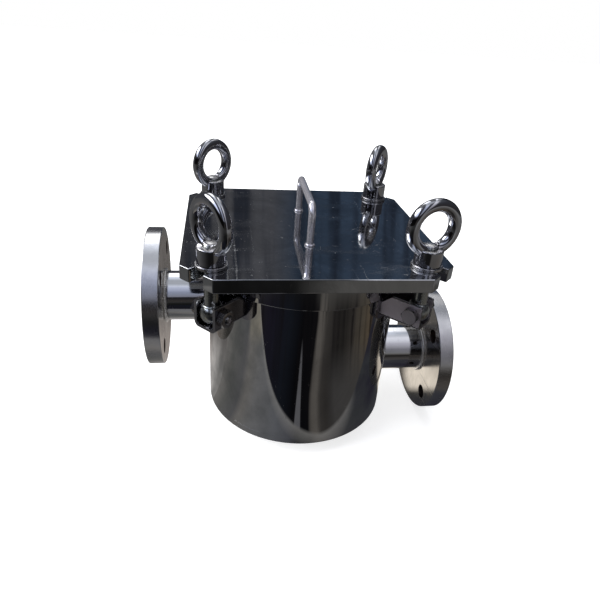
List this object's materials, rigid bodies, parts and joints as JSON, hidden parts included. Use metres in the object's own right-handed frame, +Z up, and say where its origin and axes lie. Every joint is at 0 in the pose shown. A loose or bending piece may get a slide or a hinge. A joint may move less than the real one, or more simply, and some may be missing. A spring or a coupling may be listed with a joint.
{
  "type": "basket strainer",
  "caption": "Pipeline basket strainer: round steel vessel, offset flanged inlet and outlet, square cover held by swing bolts with eye nuts, lift-out basket.",
  "frame": {"origin": "centre of the vessel's underside", "axes": "+X from the inlet to the outlet along the pipes, +Y to the back, +Z up along the vessel's axis towards the cover"},
  "size_m": [0.37, 0.282, 0.3296],
  "materials": {
    "mirror_steel": "mirror-polished stainless steel",
    "cover_steel": "mirror-polished stainless steel plate with fine scratches",
    "gasket_rubber": "matt black rubber",
    "inner_steel": "satin stainless steel",
    "basket_sheet": "perforated satin stainless sheet",
    "pipe_steel": "polished stainless pipe with a fillet weld",
    "flange_steel": "turned and polished stainless steel",
    "bracket_steel": "polished stainless bent plate",
    "fastener_steel": "plain stainless fasteners",
    "swing_bolt_steel": "machined stainless steel",
    "eye_nut_steel": "bright polished stainless casting",
    "handle_steel": "drawn and polished round bar",
    "handle_collar_steel": "bright weld collar"
  },
  "bodies": {
    "root": {"vessel_shell": "mirror_steel", "bottom_plate": "mirror_steel", "body_ring": "mirror_steel", "cover_gasket": "gasket_rubber", "seat_ring": "inner_steel", "inlet_pipe": "pipe_steel", "outlet_pipe": "pipe_steel", "inlet_flange": "flange_steel", "outlet_flange": "flange_steel", "pad_front_left": "bracket_steel", "bracket_front_left": "bracket_steel", "pivot_bolt_front_left": "fastener_steel", "pivot_nut_front_left": "fastener_steel", "swing_bolt_front_left": "swing_bolt_steel", "pad_front_right": "bracket_steel", "bracket_front_right": "bracket_steel", "pivot_bolt_front_right": "fastener_steel", "pivot_nut_front_right": "fastener_steel", "swing_bolt_front_right": "swing_bolt_steel", "pad_back_right": "bracket_steel", "bracket_back_right": "bracket_steel", "pivot_bolt_back_right": "fastener_steel", "pivot_nut_back_right": "fastener_steel", "swing_bolt_back_right": "swing_bolt_steel", "pad_back_left": "bracket_steel", "bracket_back_left": "bracket_steel", "pivot_bolt_back_left": "fastener_steel", "pivot_nut_back_left": "fastener_steel", "swing_bolt_back_left": "swing_bolt_steel"},
    "cover": {"cover_plate": "cover_steel", "cover_handle": "handle_steel", "handle_collar_front": "handle_collar_steel", "handle_collar_back": "handle_collar_steel"},
    "basket": {"basket_rim": "inner_steel", "basket_wall": "basket_sheet", "basket_floor": "basket_sheet", "bail_lug_left": "inner_steel", "bail_lug_right": "inner_steel"},
    "bail": {"basket_bail": "inner_steel"},
    "washer_front_left": {"washer_front_left": "fastener_steel"},
    "nut_front_left": {"eye_nut_front_left": "eye_nut_steel"},
    "washer_front_right": {"washer_front_right": "fastener_steel"},
    "nut_front_right": {"eye_nut_front_right": "eye_nut_steel"},
    "washer_back_right": {"washer_back_right": "fastener_steel"},
    "nut_back_right": {"eye_nut_back_right": "eye_nut_steel"},
    "washer_back_left": {"washer_back_left": "fastener_steel"},
    "nut_back_left": {"eye_nut_back_left": "eye_nut_steel"}
  },
  "joints": [
    {"name": "cover_lift", "type": "slide", "parent": "root", "child": "cover", "axis": [0, 0, 1], "range_m": [0, 0.4]},
    {"name": "basket_lift", "type": "slide", "parent": "root", "child": "basket", "axis": [0, 0, 1], "range_m": [0, 0.22]},
    {"name": "bail_swing", "type": "hinge", "parent": "basket", "child": "bail", "pos_m": [0, 0, 0.1173], "axis": [-1, 0, 0], "range_deg": [0, 180]},
    {"name": "nut_turn_front_left", "type": "hinge", "parent": "cover", "child": "washer_front_left", "pos_m": [-0.11, -0.11, 0.24], "axis": [0, 0, 1], "range_deg": [0, 4320]},
    {"name": "nut_rise_front_left", "type": "slide", "parent": "washer_front_left", "child": "nut_front_left", "axis": [0, 0, 1], "range_m": [0, 0.02401]},
    {"name": "nut_turn_front_right", "type": "hinge", "parent": "cover", "child": "washer_front_right", "pos_m": [0.11, -0.11, 0.24], "axis": [0, 0, 1], "range_deg": [0, 4320]},
    {"name": "nut_rise_front_right", "type": "slide", "parent": "washer_front_right", "child": "nut_front_right", "axis": [0, 0, 1], "range_m": [0, 0.02401]},
    {"name": "nut_turn_back_right", "type": "hinge", "parent": "cover", "child": "washer_back_right", "pos_m": [0.11, 0.11, 0.24], "axis": [0, 0, 1], "range_deg": [0, 4320]},
    {"name": "nut_rise_back_right", "type": "slide", "parent": "washer_back_right", "child": "nut_back_right", "axis": [0, 0, 1], "range_m": [0, 0.02401]},
    {"name": "nut_turn_back_left", "type": "hinge", "parent": "cover", "child": "washer_back_left", "pos_m": [-0.11, 0.11, 0.24], "axis": [0, 0, 1], "range_deg": [0, 4320]},
    {"name": "nut_rise_back_left", "type": "slide", "parent": "washer_back_left", "child": "nut_back_left", "axis": [0, 0, 1], "range_m": [0, 0.02401]}
  ],
  "couplings": [
    {"joint": "basket_lift", "follows": "cover_lift", "ratio": 0.55},
    {"joint": "nut_rise_front_left", "follows": "nut_turn_front_left", "m_per_rad": 0.00031831},
    {"joint": "nut_rise_front_right", "follows": "nut_turn_front_right", "m_per_rad": 0.00031831},
    {"joint": "nut_rise_back_right", "follows": "nut_turn_back_right", "m_per_rad": 0.00031831},
    {"joint": "nut_rise_back_left", "follows": "nut_turn_back_left", "m_per_rad": 0.00031831}
  ]
}
